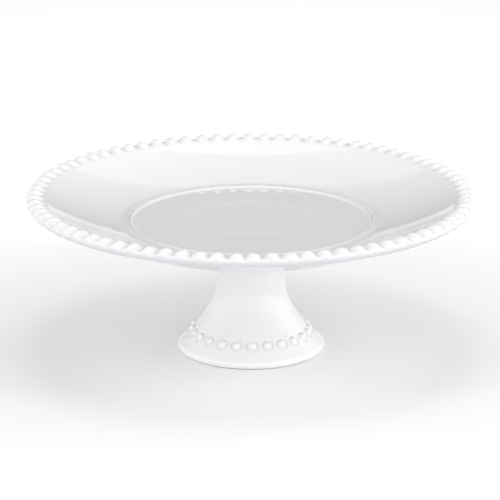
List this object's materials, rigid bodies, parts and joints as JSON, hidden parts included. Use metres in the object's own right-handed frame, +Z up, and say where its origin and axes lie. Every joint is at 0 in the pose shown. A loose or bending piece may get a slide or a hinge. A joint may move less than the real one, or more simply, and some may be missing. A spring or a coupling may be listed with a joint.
{
  "type": "pedestal cake stand",
  "caption": "White glazed stoneware cake stand: shallow dished plate with a beaded rim and a raised ring round the well, on a short hollow flared pedestal with a beaded foot.",
  "frame": {"origin": "centre of the circle that the foot stands on, at the level of the tabletop", "axes": "+Z is up along the stand's axis; the plate is round, so +X and +Y are free"},
  "size_m": [0.3392, 0.3392, 0.1255],
  "materials": {
    "plate_glaze": "glossy white stoneware glaze, thin and warm on sharp edges",
    "rim_bead_glaze": "glossy white stoneware glaze, thin on the crests and pooled between the beads",
    "pedestal_glaze": "glossy white stoneware glaze over the outside and inside, with an unglazed dry ring underneath",
    "foot_bead_glaze": "glossy white stoneware glaze",
    "slip_glaze": "glossy white glaze over slip"
  },
  "bodies": {
    "root": {"plate": "plate_glaze", "rim_beads": "rim_bead_glaze", "pedestal": "pedestal_glaze", "foot_beads": "foot_bead_glaze", "luting_slip": "slip_glaze"}
  },
  "joints": []
}
